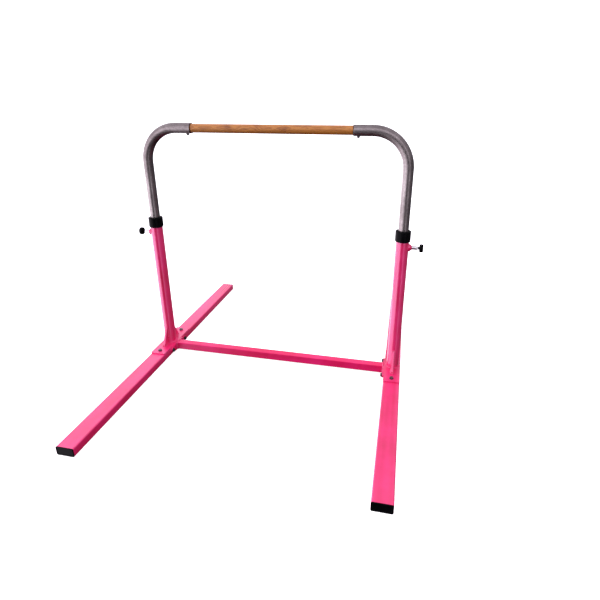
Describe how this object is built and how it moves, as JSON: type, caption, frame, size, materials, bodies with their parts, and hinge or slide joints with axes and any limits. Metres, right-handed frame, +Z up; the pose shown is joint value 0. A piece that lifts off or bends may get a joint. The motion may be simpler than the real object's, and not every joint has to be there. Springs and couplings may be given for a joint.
{
  "type": "kip bar",
  "caption": "Free-standing junior gymnastics bar: a wooden rail on bent steel tubes that slide in posts, with pull pins, flat feet and a cross beam.",
  "frame": {"origin": "on the floor, midway between the two posts, under the middle of the rail", "axes": "+X along the rail, +Y along the feet to the rear, +Z up"},
  "size_m": [1.442, 1.75, 1.224],
  "materials": {
    "pink_paint": "glossy pink powder coat",
    "black_plastic": "moulded, slightly rough",
    "knob_plastic": "moulded, smooth",
    "rail_bush_plastic": "moulded, dark brown",
    "bright_tube": "satin zinc plate",
    "pin_steel": "bright plate",
    "spring_steel": "plain drawn wire",
    "dark_fastener": "black oxide",
    "rail_wood": "oiled hardwood"
  },
  "bodies": {
    "base": {"left_foot_tube": "pink_paint", "left_base_plate": "pink_paint", "left_post_tube": "pink_paint", "left_front_gusset": "pink_paint", "left_rear_gusset": "pink_paint", "left_pin_boss": "pink_paint", "left_beam_flange": "pink_paint", "left_front_foot_cap": "black_plastic", "left_rear_foot_cap": "black_plastic", "left_post_collar": "black_plastic", "left_pin_barrel": "pin_steel", "left_pin_spring": "spring_steel", "right_foot_tube": "pink_paint", "right_base_plate": "pink_paint", "right_post_tube": "pink_paint", "right_front_gusset": "pink_paint", "right_rear_gusset": "pink_paint", "right_pin_boss": "pink_paint", "right_beam_flange": "pink_paint", "right_front_foot_cap": "black_plastic", "right_rear_foot_cap": "black_plastic", "right_post_collar": "black_plastic", "right_pin_barrel": "pin_steel", "right_pin_spring": "spring_steel", "cross_beam_tube": "pink_paint", "beam_bolts": "dark_fastener", "beam_washers": "dark_fastener", "beam_nuts": "dark_fastener", "plate_bolts": "dark_fastener", "plate_washers": "dark_fastener", "plate_nuts": "dark_fastener"},
    "top_frame": {"left_leg_glide": "black_plastic", "left_rail_bush": "rail_bush_plastic", "left_bent_tube": "bright_tube", "left_rail_screw": "dark_fastener", "right_leg_glide": "black_plastic", "right_rail_bush": "rail_bush_plastic", "right_bent_tube": "bright_tube", "right_rail_screw": "dark_fastener", "wooden_rail": "rail_wood"},
    "left_pin": {"left_pin_knob": "knob_plastic", "left_pin_plunger": "pin_steel"},
    "right_pin": {"right_pin_knob": "knob_plastic", "right_pin_plunger": "pin_steel"}
  },
  "joints": [
    {"name": "height_slide", "type": "slide", "parent": "base", "child": "top_frame", "axis": [0, 0, 1], "range_m": [-0.225, 0.225]},
    {"name": "left_pin_pull", "type": "slide", "parent": "base", "child": "left_pin", "axis": [-1, 0, 0], "range_m": [0, 0.012], "stiffness_N_per_m": 1500, "springref_m": -0.008, "deforming": ["left_pin_spring"]},
    {"name": "right_pin_pull", "type": "slide", "parent": "base", "child": "right_pin", "axis": [1, 0, 0], "range_m": [0, 0.012], "stiffness_N_per_m": 1500, "springref_m": -0.008, "deforming": ["right_pin_spring"]}
  ]
}
